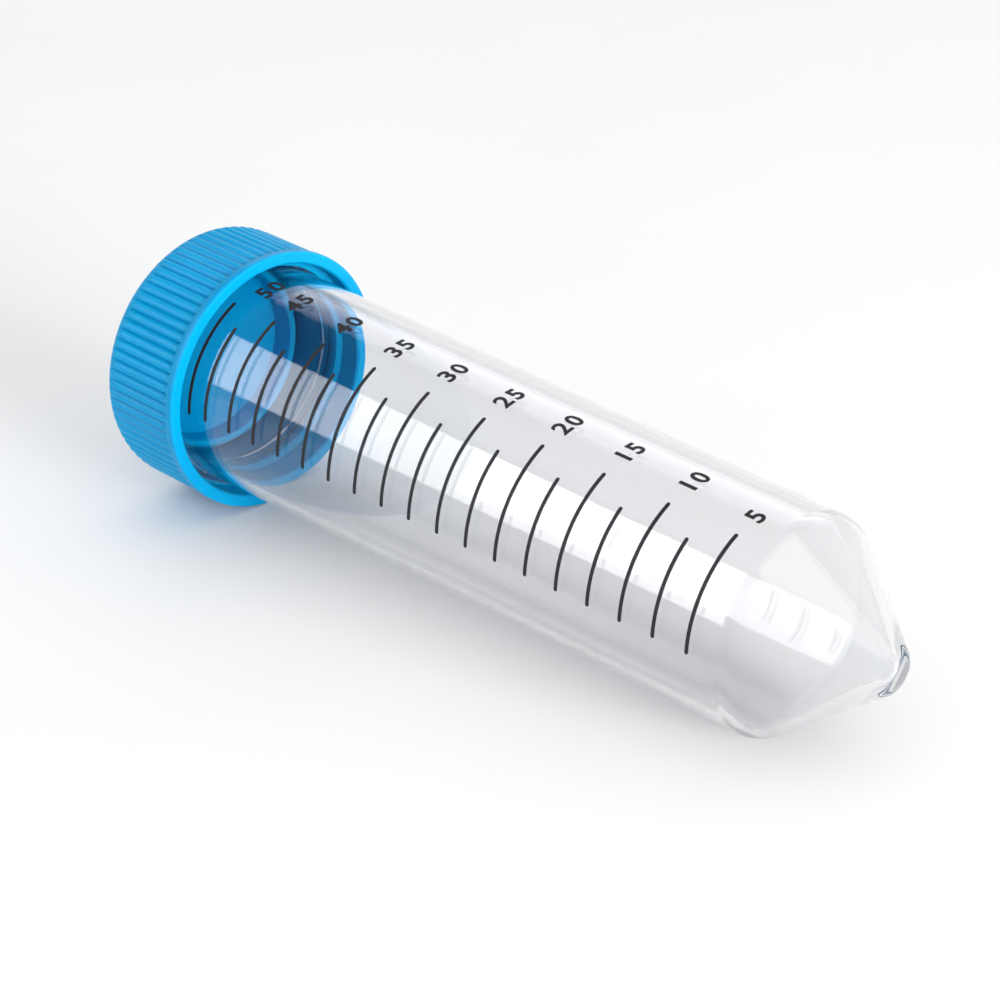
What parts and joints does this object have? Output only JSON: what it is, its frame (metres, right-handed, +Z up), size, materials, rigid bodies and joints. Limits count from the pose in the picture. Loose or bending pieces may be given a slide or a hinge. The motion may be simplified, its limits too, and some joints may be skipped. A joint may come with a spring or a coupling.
{
  "type": "centrifuge tube",
  "caption": "Clear conical-bottom centrifuge tube on its side, with a ribbed blue screw cap, a seal ring and a printed volume scale.",
  "frame": {"origin": "middle of the whole part's footprint, on the surface that the tube lies on", "axes": "+X runs from the cap towards the tip, +Y is to the side, +Z is up; the tube's own axis dips 2.4 degrees towards the tip, because it lies on the cap's rim and on the shoulder above the cone"},
  "size_m": [0.1166, 0.0348, 0.0351],
  "materials": {
    "clear_plastic": "clear colourless moulded plastic, glossy inside and out",
    "blue_plastic": "sky-blue moulded plastic, satin",
    "soft_seal": "soft seal rubber in the cap's blue, matte",
    "black_ink": "black printed ink, satin"
  },
  "bodies": {
    "tube_body": {"tube": "clear_plastic", "line_05.0_ml": "black_ink", "line_07.5_ml": "black_ink", "line_10.0_ml": "black_ink", "line_12.5_ml": "black_ink", "line_15.0_ml": "black_ink", "line_17.5_ml": "black_ink", "line_20.0_ml": "black_ink", "line_22.5_ml": "black_ink", "line_25.0_ml": "black_ink", "line_27.5_ml": "black_ink", "line_30.0_ml": "black_ink", "line_32.5_ml": "black_ink", "line_35.0_ml": "black_ink", "line_37.5_ml": "black_ink", "line_40.0_ml": "black_ink", "line_42.5_ml": "black_ink", "line_45.0_ml": "black_ink", "line_47.5_ml": "black_ink", "line_50.0_ml": "black_ink", "numeral_5_digit_1": "black_ink", "numeral_10_digit_1": "black_ink", "numeral_10_digit_2": "black_ink", "numeral_15_digit_1": "black_ink", "numeral_15_digit_2": "black_ink", "numeral_20_digit_1": "black_ink", "numeral_20_digit_2": "black_ink", "numeral_25_digit_1": "black_ink", "numeral_25_digit_2": "black_ink", "numeral_30_digit_1": "black_ink", "numeral_30_digit_2": "black_ink", "numeral_35_digit_1": "black_ink", "numeral_35_digit_2": "black_ink", "numeral_40_digit_1": "black_ink", "numeral_40_digit_2": "black_ink", "numeral_45_digit_1": "black_ink", "numeral_45_digit_2": "black_ink", "numeral_50_digit_1": "black_ink", "numeral_50_digit_2": "black_ink"},
    "seal": {"seal_ring": "soft_seal"},
    "screw_cap": {"cap": "blue_plastic"}
  },
  "joints": [
    {"name": "cap_lift", "type": "slide", "parent": "tube_body", "child": "seal", "axis": [-0.9991, 0, 0.0423], "range_m": [0, 0.016]},
    {"name": "cap_turn", "type": "hinge", "parent": "seal", "child": "screw_cap", "pos_m": [-0.05538, 0, 0.01787], "axis": [-0.9991, 0, 0.0423], "range_deg": [0, 1440]}
  ],
  "couplings": [
    {"joint": "cap_lift", "follows": "cap_turn", "m_per_rad": 0.00063662}
  ]
}
